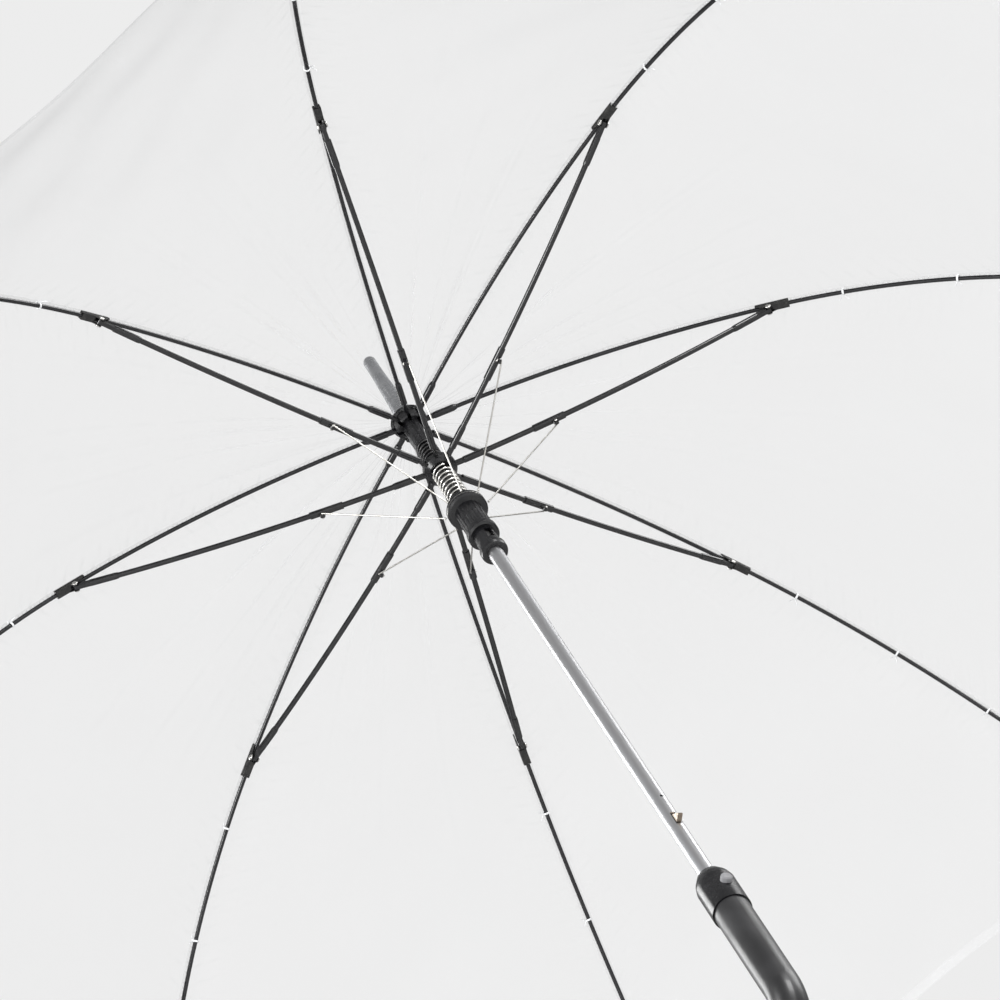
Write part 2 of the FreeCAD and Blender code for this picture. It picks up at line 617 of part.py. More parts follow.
def joint_end(bore):
    """Flat tongue on the rivet, then a sleeve over the stretcher's outer end."""
    neck = STRETCHER_LENGTH - TONGUE_LENGTH
    place, heading = stretcher_point(STRETCHER_LENGTH)
    near, near_heading = stretcher_point(neck - 1.0)
    outline = [at_crown(beside(place, heading, TONGUE_RADIUS)),
               at_crown(beside(near, near_heading, TONGUE_RADIUS)),
               at_crown(beside(near, near_heading, -TONGUE_RADIUS)),
               at_crown(beside(place, heading, -TONGUE_RADIUS))]
    tongue = plate(outline, TONGUE_THICKNESS)
    tongue = tongue.fuse(cross_cylinder(at_crown(JOINT_PIN), TONGUE_RADIUS, TONGUE_THICKNESS))
    sleeve_end = stretcher_point(neck - JOINT_SLEEVE_LENGTH)[0]
    sleeve = fitting_sleeve(stretcher_point(neck)[0], sleeve_end,
                            STRETCHER_RADIUS + SLEEVE_MOUTH)
    hole = cross_cylinder(at_crown(JOINT_PIN), RIVET_DIAMETER / 2 + HINGE_CLEARANCE, 10.0)
    return tongue.fuse(sleeve).cut([hole, bore])


def wire_clamp(bore):
    """Sleeve clamped on the stretcher, with a lug under it for the link wire."""
    start = stretcher_point(CLAMP_PLACE - CLAMP_BEHIND)[0]
    end = stretcher_point(CLAMP_PLACE + CLAMP_AHEAD)[0]
    sleeve = sleeve_between(start, end, CLAMP_DIAMETER / 2)
    neck = []
    for along, drop in ((-3.0, 0.0), (3.0, 0.0)):
        centre, heading = stretcher_point(CLAMP_PLACE + along)
        neck.append(at_crown(beside(centre, heading, drop)))
    for along in (LUG_RADIUS, -LUG_RADIUS):
        centre, heading = stretcher_point(CLAMP_PLACE + along)
        neck.append(at_crown(beside(centre, heading, -LUG_DROP)))
    lug = plate(neck, LUG_THICKNESS)
    lug = lug.fuse(cross_cylinder(at_crown(LINK_PIN), LUG_RADIUS, LUG_THICKNESS))
    hole = cross_cylinder(at_crown(LINK_PIN), LINK_WIRE / 2 + 2 * HINGE_CLEARANCE, 10.0)
    return sleeve.fuse(lug).cut([hole, bore])


def stretcher_rod(clearance=0.0):
    """Rod from inside the hub fitting to inside the joint end."""
    place, heading = stretcher_point(BLADE_LENGTH + 2.0)
    length = STRETCHER_LENGTH - BLADE_LENGTH - TONGUE_LENGTH - 4.0
    return arc_rod(place, heading, -STRETCHER_ARC_RADIUS, length,
                   STRETCHER_DIAMETER + 2 * clearance)


def stretcher_pieces():
    bore = stretcher_rod(FIXED_CLEARANCE)
    hub_end = end_fitting(HUB_PIN, stretcher_point, STRETCHER_RADIUS, bore)
    return stretcher_rod(), hub_end, joint_end(bore), wire_clamp(bore)


def make_link_wire():
    """Spring-steel wire hooked through the clamp's lug, with a bead at the lower runner."""
    side = LUG_THICKNESS / 2 + SIDE_CLEARANCE + LINK_WIRE / 2
    corner = at_crown(LINK_PIN, side)
    foot = at_crown(LINK_FOOT)
    run = foot - corner
    wire = Part.makeCylinder(LINK_WIRE / 2, run.Length, corner, run)
    hook = Part.makeCylinder(LINK_WIRE / 2, 2 * side, at_crown(LINK_PIN, -side), ACROSS)
    knee = Part.makeSphere(LINK_WIRE / 2, corner)
    bead = Part.makeSphere(LINK_BEAD / 2, foot)
    return wire.fuse([hook, knee, bead])


# ---------------------------------------------------------------- canopy
CANOPY_LAYER = CANOPY_THICKNESS + 0.3


def canopy_profile(offset):
    """Points over one rib, from the hole at the crown to the canopy's edge."""
    top = CROWN_ABOVE + 0.1 + offset - CANOPY_OFFSET
    points = [(CANOPY_HOLE_RADIUS, top), (CROWN_RADIUS + 0.8, top)]
    first = 3 * CROWN_RADIUS
    for i in range(CANOPY_INNER_STEPS + 1):
        distance = first + (RIB_LENGTH - first) * i / CANOPY_INNER_STEPS
        points.append(beside(*rib_point(distance), offset))
    reach = RIB_FULL_LENGTH - RIB_LENGTH
    for i in range(1, CANOPY_OUTER_STEPS + 1):
        distance = RIB_LENGTH + reach * i / CANOPY_OUTER_STEPS
        points.append(beside(*rib_point(distance), offset))
    return points


def make_canopy():
    """Clear film stretched over the ribs: one flat-sided gore between each pair."""
    under = canopy_profile(CANOPY_OFFSET)
    over = canopy_profile(CANOPY_OFFSET + CANOPY_THICKNESS)
    loop = under + over[::-1]
    corners = []
    for arm in range(1, ARMS + 1):
        angle = math.radians(arm_angle(arm))
        corners.append([V(r * math.cos(angle), r * math.sin(angle), CROWN_HEIGHT + z)
                        for r, z in loop])
    faces = []
    for arm in range(ARMS):
        here = corners[arm]
        there = corners[(arm + 1) % ARMS]
        for i in range(len(loop)):
            j = (i + 1) % len(loop)
            outline = [here[i], there[i], there[j], here[j], here[i]]
            faces.append(Part.Face(Part.makePolygon(outline)))
    shell = Part.makeShell(faces)
    shell.sewShape()
    solid = Part.makeSolid(shell)
    if solid.Volume < 0:
        solid.reverse()
    return solid


def make_canopy_cap():
    foot = CROWN_HEIGHT + CROWN_ABOVE + CANOPY_LAYER
    rim = foot + CAP_THICKNESS
    return turned([
        (FIXED_BORE_RADIUS, foot),
        (CAP_RADIUS, foot),
        (CAP_RADIUS, foot + CAP_THICKNESS / 2),
        (CAP_RADIUS - 0.8, rim),
        (FIXED_BORE_RADIUS, rim),
    ])


# ---------------------------------------------------------------- handle and catch
def make_collar():
    body = turned([
        (FIXED_BORE_RADIUS, COLLAR_FOOT),
        (COLLAR_RADIUS, COLLAR_FOOT),
        (COLLAR_RADIUS, COLLAR_SHOULDER - 4.0),
        (COLLAR_RADIUS - 0.8, COLLAR_SHOULDER),
        (COLLAR_TOP_RADIUS, COLLAR_TOP),
        (FIXED_BORE_RADIUS, COLLAR_TOP),
    ])
    hole = Part.makeCylinder(BUTTON_DIAMETER / 2 + SIDE_CLEARANCE, 2 * COLLAR_RADIUS,
                             V(0, 0, BUTTON_HEIGHT), V(1, 0, 0))
    return body.cut(hole)


def make_button():
    """Push button through the collar, its stem on the catch leaf."""
    reach = COLLAR_RADIUS + BUTTON_PROUD
    shoulder = reach - BUTTON_HEAD_DEPTH
    stem_start = LEAF_FACE + FIXED_CLEARANCE
    stem = Part.makeCylinder(BUTTON_STEM / 2, shoulder - stem_start,
                             V(stem_start, 0, BUTTON_HEIGHT), V(1, 0, 0))
    head = Part.makeCylinder(BUTTON_DIAMETER / 2, BUTTON_HEAD_DEPTH - 0.8,
                             V(shoulder, 0, BUTTON_HEIGHT), V(1, 0, 0))
    crown = Part.makeCone(BUTTON_DIAMETER / 2, BUTTON_DIAMETER / 2 - 0.8, 0.8,
                          V(reach - 0.8, 0, BUTTON_HEIGHT), V(1, 0, 0))
    return stem.fuse([head, crown])


def make_catch_leaf():
    """Spring-steel leaf inside the shaft, its nose out through the slot."""
    back = LEAF_FACE - LEAF_THICKNESS
    bend = LEAF_PIVOT_HEIGHT + 8.0
    outline = [(0.8, LEAF_PIVOT_HEIGHT + 0.8), (LEAF_FACE, bend), (LEAF_FACE, NOSE_FOOT),
               (NOSE_RADIUS, NOSE_FOOT), (NOSE_RADIUS, NOSE_FOOT + NOSE_LIP),
               (LEAF_FACE, NOSE_FOOT + NOSE_HEIGHT), (back, NOSE_FOOT + NOSE_HEIGHT),
               (back, bend), (-0.8, LEAF_PIVOT_HEIGHT + 0.8)]
    leaf = plate([V(across, 0, height) for across, height in outline], LEAF_WIDTH)
    pivot = V(0, 0, LEAF_PIVOT_HEIGHT)
    leaf = leaf.fuse(cross_cylinder(pivot, LEAF_EYE_RADIUS, LEAF_WIDTH))
    return leaf.cut(cross_cylinder(pivot, CROSS_PIN_DIAMETER / 2 + HINGE_CLEARANCE, 10.0))


def make_handle():
    """Crook handle: straight grip, half-circle bend away from the button, short tail."""
    grip = cylinder(HANDLE_RADIUS, GRIP_FOOT, COLLAR_FOOT - FIXED_CLEARANCE)
    grip = grip.cut(cylinder(FIXED_BORE_RADIUS, SHAFT_FOOT - FIXED_CLEARANCE, COLLAR_FOOT))
    disc = Part.Face(Part.Wire(Part.makeCircle(HANDLE_RADIUS, V(0, 0, GRIP_FOOT), UP)))
    bend = disc.revolve(V(-CROOK_RADIUS, 0, GRIP_FOOT), V(0, 1, 0), 180)
    tail = Part.makeCylinder(HANDLE_RADIUS, CROOK_TAIL, V(-2 * CROOK_RADIUS, 0, GRIP_FOOT), UP)
    end = Part.makeSphere(HANDLE_RADIUS, V(-2 * CROOK_RADIUS, 0, GRIP_FOOT + CROOK_TAIL))
    return grip.fuse([bend, tail.fuse(end)])


# ---------------------------------------------------------------- writing the nodes
os.makedirs("parts", exist_ok=True)

save("shaft_tube", make_shaft())
save("crown", make_crown())
save("crown_ring", ring(HINGE_RING_RADIUS, HINGE_WIRE, CROWN_HEIGHT))
save("crown_pin", crown_pin())
save("tip_ferrule", make_tip_ferrule())
save("canopy_cap", make_canopy_cap())
save("canopy", make_canopy())
save("buffer_spring", make_buffer_spring())
save("upper_runner", make_upper_runner())
save("upper_ring", ring(HINGE_RING_RADIUS, HINGE_WIRE, CROWN_HEIGHT - OPEN_GAP))
save("opening_spring", make_opening_spring())
save("lower_runner", make_lower_runner())
save("lower_ring", make_lower_ring())
save("handle_collar", make_collar())
save("release_button", make_button())
save("catch_leaf", make_catch_leaf())
save("catch_pin", leaf_pin())
save("crook_handle", make_handle())
save_arms("rib", inner_rod(), root_fitting())
save_arms("outer_rib", outer_rod().fuse(tip_cap()))
save_arms("knee_bracket", make_bracket(), make_rivet())
save_arms("stretcher", *stretcher_pieces())
save_arms("link_wire", make_link_wire())
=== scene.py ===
"""Looks of a clear walking umbrella: eight jointed arms under clear film, a sprung runner, a crook."""
import json
import math

import bmesh
import bpy
import numpy as np
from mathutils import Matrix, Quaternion, Vector


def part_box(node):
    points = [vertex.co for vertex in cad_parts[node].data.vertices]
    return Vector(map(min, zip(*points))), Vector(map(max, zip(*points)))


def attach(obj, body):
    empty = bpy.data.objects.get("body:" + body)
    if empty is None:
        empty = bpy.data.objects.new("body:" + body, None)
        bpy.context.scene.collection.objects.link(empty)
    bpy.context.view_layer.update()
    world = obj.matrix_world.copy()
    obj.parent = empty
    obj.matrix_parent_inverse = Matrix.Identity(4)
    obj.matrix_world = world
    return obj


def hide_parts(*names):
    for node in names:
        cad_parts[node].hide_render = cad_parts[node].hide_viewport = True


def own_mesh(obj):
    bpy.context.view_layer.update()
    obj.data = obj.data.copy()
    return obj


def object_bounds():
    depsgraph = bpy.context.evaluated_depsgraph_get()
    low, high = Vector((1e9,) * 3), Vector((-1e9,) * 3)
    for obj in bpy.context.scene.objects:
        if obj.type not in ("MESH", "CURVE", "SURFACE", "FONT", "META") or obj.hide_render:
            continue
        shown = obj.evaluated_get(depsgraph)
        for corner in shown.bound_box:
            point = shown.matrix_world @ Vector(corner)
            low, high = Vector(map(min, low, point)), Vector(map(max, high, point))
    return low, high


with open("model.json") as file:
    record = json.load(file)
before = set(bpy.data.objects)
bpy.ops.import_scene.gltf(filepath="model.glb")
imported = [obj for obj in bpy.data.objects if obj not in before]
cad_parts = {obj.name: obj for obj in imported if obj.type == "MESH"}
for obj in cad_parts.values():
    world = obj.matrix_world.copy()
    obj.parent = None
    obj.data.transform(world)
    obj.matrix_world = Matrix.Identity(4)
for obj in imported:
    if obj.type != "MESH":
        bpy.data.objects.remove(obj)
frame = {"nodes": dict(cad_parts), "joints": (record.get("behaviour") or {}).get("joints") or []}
cad_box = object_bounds()
joints = {joint["name"]: joint for joint in frame["joints"]}


# ---------------------------------------------------------------- shaft
# The shaft is a drawn aluminium tube with a satin finish. Drawing leaves fine lines along it. Long
# pale and dull bands of colour along it are painted reflections, and the dull colour also marks small
# specks of dust.
SHAFT_PALE = (0.66, 0.66, 0.67, 1)
SHAFT_SHADED_BAND_AND_DUST = (0.44, 0.45, 0.47, 1)


def add(tree, kind, sockets=(), **settings):
    """A node with its settings. A socket takes a plain value, or another node's output."""
    node = tree.nodes.new(kind)
    for name, value in settings.items():
        setattr(node, name, value)
    for name, value in dict(sockets).items():
        if isinstance(value, bpy.types.NodeSocket):
            tree.links.new(value, node.inputs[name])
        else:
            node.inputs[name].default_value = value
    return node


def shader_group(name, inputs, outputs):
    """An empty shader node group with named sockets, and its input and output nodes."""
    group = bpy.data.node_groups.new(name, "ShaderNodeTree")
    for title, kind in inputs.items():
        group.interface.new_socket(title, in_out="INPUT", socket_type="NodeSocket" + kind)
    for title, kind in outputs.items():
        group.interface.new_socket(title, in_out="OUTPUT", socket_type="NodeSocket" + kind)
    return group, add(group, "NodeGroupInput").outputs, add(group, "NodeGroupOutput").inputs


SURFACE_INPUTS = {"Coordinates": "Vector", "Stretch": "Vector", "Grain": "Float",
                  "Patches": "Float", "Fresh": "Color", "Worn": "Color", "Smooth": "Float",
                  "Rough": "Float"}
SURFACE_OUTPUTS = {"Color": "Color", "Roughness": "Float", "Height": "Float"}


def surface_group():
    """Fine grain under wide patches of handling: patches move colour and roughness from fresh
    to worn, grain gives the height, and tiny specks of dust are a little paler and rougher."""
    group, given, out = shader_group("handled_surface", SURFACE_INPUTS, SURFACE_OUTPUTS)
    place = add(group, "ShaderNodeVectorMath", {0: given["Coordinates"], 1: given["Stretch"]},
                operation="MULTIPLY").outputs[0]
    grain = add(group, "ShaderNodeTexNoise", {"Vector": place, "Scale": given["Grain"],
                                              "Detail": 3.0}).outputs[0]
    patches = add(group, "ShaderNodeTexNoise", {"Vector": place, "Scale": given["Patches"],
                                                "Detail": 5.0, "Roughness": 0.62}).outputs[0]
    worn = add(group, "ShaderNodeMapRange", {"Value": patches, "From Min": 0.42,
                                             "From Max": 0.68}).outputs[0]
    cells = add(group, "ShaderNodeTexVoronoi", {"Vector": given["Coordinates"],
                                                "Scale": 900.0}).outputs["Distance"]
    specks = add(group, "ShaderNodeMapRange", {"Value": cells, "From Min": 0.1,
                                               "From Max": 0.04}).outputs[0]
    sparse = add(group, "ShaderNodeMath", {0: specks, 1: worn}, operation="MULTIPLY").outputs[0]
    mixed = add(group, "ShaderNodeMath", {0: worn, 1: 0.75}, operation="MULTIPLY").outputs[0]
    amount = add(group, "ShaderNodeMath", {0: mixed, 1: sparse}, operation="ADD",
                 use_clamp=True).outputs[0]
    colour = add(group, "ShaderNodeMix", {0: amount, 6: given["Fresh"], 7: given["Worn"]},
                 data_type="RGBA")
    ripple = add(group, "ShaderNodeMath", {0: grain, 1: 0.12, 2: -0.06},
                 operation="MULTIPLY_ADD").outputs[0]
    blend = add(group, "ShaderNodeMix", {0: amount, 2: given["Smooth"], 3: given["Rough"]})
    rough = add(group, "ShaderNodeMath", {0: blend.outputs[0], 1: ripple}, operation="ADD",
                use_clamp=True).outputs[0]
    group.links.new(colour.outputs[2], out["Color"])
    group.links.new(rough, out["Roughness"])
    group.links.new(grain, out["Height"])
    return group


handled_surface = surface_group()


def finish(name, fresh, worn, smooth, rough, grain, patches, stretch=(1, 1, 1), bump=0.25,
           depth=0.00004, **plain):
    """A material from the handled surface group. Plain values go on the shader's own sockets."""
    material = bpy.data.materials.new(name)
    material.use_nodes = True
    tree = material.node_tree
    shader = tree.nodes["Principled BSDF"]
    place = add(tree, "ShaderNodeTexCoord").outputs["Object"]
    surface = add(tree, "ShaderNodeGroup", {
        "Coordinates": place, "Stretch": stretch, "Grain": grain, "Patches": patches,
        "Fresh": fresh, "Worn": worn, "Smooth": smooth, "Rough": rough},
        node_tree=handled_surface)
    relief = add(tree, "ShaderNodeBump", {"Strength": bump, "Distance": depth,
                                          "Height": surface.outputs["Height"]}).outputs[0]
    tree.links.new(surface.outputs["Color"], shader.inputs["Base Color"])
    tree.links.new(surface.outputs["Roughness"], shader.inputs["Roughness"])
    tree.links.new(relief, shader.inputs["Normal"])
    for title, value in plain.items():
        shader.inputs[title.replace("_", " ").title().replace("Ior", "IOR")].default_value = value
    return material


def cover(material, *names):
    """Gives each CAD node this material in place of its own."""
    for name in names:
        node = frame["nodes"][name]
        node.data.materials.clear()
        node.data.materials.append(material)


def numbered(stem):
    """The CAD nodes of this stem, one for each arm, in order."""
    arms = [name for name in frame["nodes"] if name.startswith(stem + "_")]
    return sorted(name for name in arms if name[len(stem) + 1:].isdigit())


# On the shaft the patches are stretched into long bands along it: painted reflections in pale and dull
# colour.
cover(finish("satin_aluminium", SHAFT_PALE, SHAFT_SHADED_BAND_AND_DUST, 0.3, 0.46, 2600.0, 60.0,
             stretch=(1, 1, 0.02), metallic=1.0), "shaft_tube")


# ---------------------------------------------------------------- crown and hub
# The crown and the hub are black moulded nylon with a slot for each arm. The crown is pinned
# to the shaft, and the hub slides on it. Mould polish leaves them satin with a fine grain.
PLASTIC_BLACK = (0.006, 0.006, 0.007, 1)
PLASTIC_WORN = (0.018, 0.018, 0.019, 1)
moulded_black = finish("moulded_black", PLASTIC_BLACK, PLASTIC_WORN, 0.22, 0.36, 2400.0, 70.0,
                       bump=0.3, specular_ior_level=0.45)
cover(moulded_black, "crown", "upper_runner", "lower_runner", "handle_collar")


# ---------------------------------------------------------------- hinge rings and pins
# Each slotted part has a ring of plated wire threaded through the arms' eyes.
# The plating is bright nickel, a little duller where it rubs.
NICKEL_BRIGHT = (0.72, 0.71, 0.68, 1)
NICKEL_DULL = (0.42, 0.41, 0.39, 1)
cover(finish("nickel_wire", NICKEL_BRIGHT, NICKEL_DULL, 0.2, 0.38, 3000.0, 260.0,
             metallic=1.0), "crown_ring", "upper_ring", "lower_ring", "crown_pin", "catch_pin")


# ---------------------------------------------------------------- ribs
# A rib is a black fibreglass rod, drawn and sealed, so it is glossy with faint long streaks.
# Its outer part bends down to the tip, which carries a small moulded cap.
FIBRE_BLACK = (0.005, 0.005, 0.006, 1)
FIBRE_WORN = (0.014, 0.014, 0.016, 1)
cover(finish("drawn_fibreglass", FIBRE_BLACK, FIBRE_WORN, 0.16, 0.3, 1800.0, 45.0,
             bump=0.15, specular_ior_level=0.5),
      *numbered("rib"), *numbered("outer_rib"))


# ---------------------------------------------------------------- stretchers
# A stretcher is a black rod with moulded ends, from the hub to the rib's knee. Its coat is
# glossier than the rib's.
PAINT_BLACK = (0.005, 0.005, 0.006, 1)
PAINT_WORN = (0.016, 0.016, 0.016, 1)
cover(finish("painted_stretcher", PAINT_BLACK, PAINT_WORN, 0.14, 0.28, 2200.0, 85.0,
             bump=0.15, specular_ior_level=0.55), *numbered("stretcher"))


# ---------------------------------------------------------------- knee brackets and rivets
# A folded and blackened clip joins rib, outer rib and stretcher at the knee, on one steel rivet.
# The rivet's heads are left bright and are slightly domed.
RIVET_RADIUS = 0.0020
RIVET_HEIGHT = 0.0010
RIVET_FACE = 0.0025
RIVET_ROUNDNESS = 3.5
cover(finish("blackened_bracket", (0.006, 0.006, 0.006, 1), (0.028, 0.027, 0.025, 1), 0.22, 0.38,
             2600.0, 190.0, bump=0.35, specular_ior_level=0.5), *numbered("knee_bracket"))
rivet_steel = finish("rivet_steel", (0.66, 0.65, 0.63, 1), (0.36, 0.35, 0.33, 1), 0.22, 0.42,
                     3600.0, 420.0, metallic=1.0)


def make_piece(name, grids, material, body, attributes=None):
    """One mesh from grids of points, each (rows, columns, 3). Quads join neighbouring points,
    and every grid's numbers go on from the last one's. Attributes are one value per point."""
    corners, faces, base = [], [], 0
    for grid in grids:
        rows, columns = grid.shape[:2]
        index = base + np.arange(rows * columns).reshape(rows, columns)
        quads = np.stack([index[:-1, :-1], index[1:, :-1], index[1:, 1:], index[:-1, 1:]], -1)
        faces.append(quads.reshape(-1, 4))
        corners.append(grid.reshape(-1, 3))
        base += rows * columns
    corners, faces = np.concatenate(corners), np.concatenate(faces)
    mesh = bpy.data.meshes.new(name)
    mesh.from_pydata(corners.tolist(), [], faces.tolist())
    for title, values in (attributes or {}).items():
        layer = mesh.attributes.new(title, "FLOAT", "POINT")
        layer.data.foreach_set("value", values.astype(np.float32).ravel())
    mesh.materials.append(material)
    piece = bpy.data.objects.new(name, mesh)
    bpy.context.scene.collection.objects.link(piece)
    return weld(piece, body)


def weld(piece, body):
    """Merges the grids' shared edges and poles, smooths the faces, and fixes the piece's body."""
    work = bmesh.new()
    work.from_mesh(piece.data)
    bmesh.ops.remove_doubles(work, verts=work.verts, dist=1e-6)
    work.to_mesh(piece.data)
    work.free()
    piece.data.polygons.foreach_set("use_smooth", np.ones(len(piece.data.polygons), bool))
    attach(piece, body)
    return piece


def dome(centre, axis, radius, height, roundness, rings=8, sides=20):
    """A rivet's head: around the axis, the radius falls from the foot to the top as a
    superellipse, so that the head is flat-topped with a rounded edge. A first row on the
    axis closes the foot."""
    axis = np.array(axis) / np.linalg.norm(axis)
    across = np.cross(axis, (0.0, 0.0, 1.0))
    across /= np.linalg.norm(across)
    third = np.cross(axis, across)
    climb = np.sin(np.linspace(0, np.pi / 2, rings))[:, None, None]
    turn = np.linspace(2 * np.pi, 0, sides + 1)[None, :, None]
    reach = radius * (1 - climb ** roundness).clip(0) ** (1 / roundness)
    climb, reach = np.concatenate([climb[:1], climb]), np.concatenate([0 * reach[:1], reach])
    return (np.array(centre) + axis * climb * height
            + reach * (across * np.cos(turn) + third * np.sin(turn)))


for arm in range(1, len(numbered("rib")) + 1):
    knee = joints[f"outer_rib_{arm}_flex"]
    pin = np.array(knee["pos_m"])
    side = np.array(knee["axis"]) / np.linalg.norm(knee["axis"])
    heads = [dome(pin + side * face * RIVET_FACE, side * face, RIVET_RADIUS, RIVET_HEIGHT,
                  RIVET_ROUNDNESS) for face in (-1, 1)]
    make_piece(f"knee_rivet_{arm}", heads, rivet_steel, f"outer_rib_{arm}")


# ---------------------------------------------------------------- link wires
# A thin spring-steel wire runs from each stretcher's clamp down to the lower runner.
# It is bare and light, with a dull oxide tint. Its hooked end is upset into a small bead.
BEAD_RADIUS = 0.0011
BEAD_HEIGHT = 0.0007
BEAD_FACE = 0.0016
BEAD_ROUNDNESS = 2.0
cover(finish("link_steel", (0.62, 0.61, 0.58, 1), (0.34, 0.32, 0.29, 1), 0.3, 0.46, 2800.0,
             130.0, metallic=1.0), *numbered("link_wire"))


for arm in range(1, len(numbered("rib")) + 1):
    hook = joints[f"link_wire_{arm}_swing"]
    side = np.array(hook["axis"]) / np.linalg.norm(hook["axis"])
    middle = np.array(hook["pos_m"]) - side * BEAD_FACE
    halves = [dome(middle, side * face, BEAD_RADIUS, BEAD_HEIGHT, BEAD_ROUNDNESS)
              for face in (-1, 1)]
    make_piece(f"hook_bead_{arm}", halves, rivet_steel, f"link_wire_{arm}")


# ---------------------------------------------------------------- springs
# The buffer spring under the crown is black oxide steel, and the opening spring above the
# lower runner is nickel plated and bright.
cover(finish("black_oxide_spring", (0.03, 0.03, 0.032, 1), (0.09, 0.088, 0.085, 1), 0.24, 0.38,
             2600.0, 240.0, metallic=0.5), "buffer_spring")
cover(finish("nickel_spring", (0.76, 0.75, 0.72, 1), (0.5, 0.49, 0.46, 1), 0.16, 0.3, 2600.0,
             220.0, metallic=1.0), "opening_spring")


# ---------------------------------------------------------------- liner
# A thin black sleeve covers the shaft's upper end, between the crown and the lower runner, so that the
# shaft shows black inside the springs. It is thinner than the runners' play, so they slide over it.
LINER_RADIUS = 0.00514
LINER_CORE = 0.00490
LINER_EDGE = 0.0004
LINER_INSET = 0.004


def lathe(profile, sides=48):
    """A profile of radius and height turned once round the Z axis."""
    profile = np.array(profile)
    turn = np.linspace(2 * np.pi, 0, sides + 1)[None, :]
    radius, height = profile[:, :1], profile[:, 1:]
    return np.stack([radius * np.cos(turn), radius * np.sin(turn), height + 0 * turn], -1)


liner_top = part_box("crown")[0].z + LINER_EDGE
liner_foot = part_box("lower_runner")[0].z + LINER_INSET
make_piece("shaft_liner", [lathe([
    (LINER_CORE, liner_foot), (LINER_RADIUS, liner_foot + LINER_EDGE),
    (LINER_RADIUS, liner_top - LINER_EDGE), (LINER_CORE, liner_top),
    (LINER_CORE, liner_foot)])],
    finish("black_shaft_sleeve", (0.005, 0.005, 0.005, 1), (0.014, 0.014, 0.014, 1), 0.3, 0.45,
           2600.0, 120.0), "shaft")


# ---------------------------------------------------------------- canopy
# The canopy is clear soft PVC film, cut as gores and sewn along the ribs. Each rib carries half
# of the gore on either side of it. The film sags a little between ribs, puckers at the seams,
# and has radial folds at the crown and a turned hem.
KNEE_RISE = 0.0036
FILM_RISE = 0.003
CROWN_RISE = 0.0014
CROWN_REACH = 0.032
HOLE_RADIUS = 0.0056
INNER_BEND = 0.720
OUTER_BEND, OUTER_LENGTH = 0.400, 0.180
EDGE_BEND, EDGE_LENGTH = 0.700, 0.168
EDGE_DIP = 0.020
SAG = 0.009
FOLD_DEPTH = 0.0009
FOLD_PLACE = 0.055
FOLD_LOBES = (3.0, 5.0)
WAVE_DEPTH = 0.0014
WAVE_LENGTHS = (0.17, 0.09)
PUCKER_DEPTH = 0.00012
PUCKER_LENGTHS = (0.0125, 0.0071)
PUCKER_REACH = 0.011
GORE_ANGLE = 2 * np.pi / len(numbered("rib"))
FILM_COLUMNS = 56

first_pin = Vector(joints["rib_1_fold"]["pos_m"])
first_knee = Vector(joints["outer_rib_1_flex"]["pos_m"])
pin_radius = first_pin.to_2d().length
knee_step = np.array([first_knee.to_2d().length - pin_radius,
                      first_knee.z + KNEE_RISE - first_pin.z])
half_turn = math.asin(np.linalg.norm(knee_step) / 2 / INNER_BEND)
RIB_HEADING = math.atan2(knee_step[1], knee_step[0]) + half_turn
INNER_LENGTH = 2 * half_turn * INNER_BEND
RIB_LENGTH = INNER_LENGTH + OUTER_LENGTH + EDGE_LENGTH


def rib_curve(distance):
    """Radius, height and heading along a rib's axis: three arcs end to end, where the heading
    falls by the length over the bend's radius, and each arc adds its chord to the place."""
    radius = np.full_like(distance, pin_radius)
    height = np.full_like(distance, first_pin.z)
    heading = np.full_like(distance, RIB_HEADING)
    start, low = 0.0, -np.inf
    for bend, length in ((INNER_BEND, INNER_LENGTH), (OUTER_BEND, OUTER_LENGTH),
                         (EDGE_BEND, EDGE_LENGTH)):
        run = np.clip(distance - start, low, length)
        later = heading - run / bend
        radius = radius + bend * (np.sin(heading) - np.sin(later))
        height = height + bend * (np.cos(later) - np.cos(heading))
        heading, start, low = later, start + length, 0.0
    return radius, height, heading


rng = np.random.default_rng(11)
gore_phase = rng.uniform(0, 2 * np.pi, (len(numbered("rib")), 6))


def film_relief(gore, distance, share, gap):
    """Height of the film over a smooth gore: radial folds that fade away from the crown, wide
    slack waves, and short puckers beside the seams. Share runs from 0 to 1 across the gore.
    The second value is a painted highlight, how white the film is drawn: narrow glints along the
    crests of the folds and beside the puckers."""
    phase = gore_phase[gore % len(gore_phase)]
    middle = np.sin(np.pi * share)
    fade = distance / FOLD_PLACE * np.exp(1 - distance / FOLD_PLACE)
    wide, narrow = (np.sin(2 * np.pi * lobes * share + start)
                    for lobes, start in zip(FOLD_LOBES, phase))
    folds = (wide + 0.6 * narrow) * fade
    waves = (np.sin(2 * np.pi * (distance / WAVE_LENGTHS[0] + 1.2 * share) + phase[2])
             + 0.7 * np.sin(2 * np.pi * (distance / WAVE_LENGTHS[1] - 2.3 * share) + phase[3]))
    waves = waves * np.clip(distance / 0.3, 0, 1)
    near = np.exp(-gap / PUCKER_REACH) * (1 - np.exp(-gap / 0.0015))
    puckers = (np.sin(2 * np.pi * (distance / PUCKER_LENGTHS[0] + gap / 0.05) + phase[4])
               + 0.8 * np.sin(2 * np.pi * (distance / PUCKER_LENGTHS[1] - gap / 0.03) + phase[5]))
    puckers = puckers * np.clip((distance - 0.02) / 0.03, 0, 1)
    relief = (FOLD_DEPTH * folds * middle + WAVE_DEPTH * waves * middle ** 2
              + PUCKER_DEPTH * puckers * near)
    # Painted highlight: narrow white glints on the crests of the folds and beside the puckers.
    crests = wide.clip(0) ** 40 + 0.7 * narrow.clip(0) ** 60
    ragged = 0.5 + 0.5 * np.sin(distance / 0.016 + phase[2]) * np.sin(distance / 0.009)
    film_glint = crests * fade * middle * ragged + 0.35 * near * (puckers / 1.8).clip(0) ** 3
    return relief, film_glint


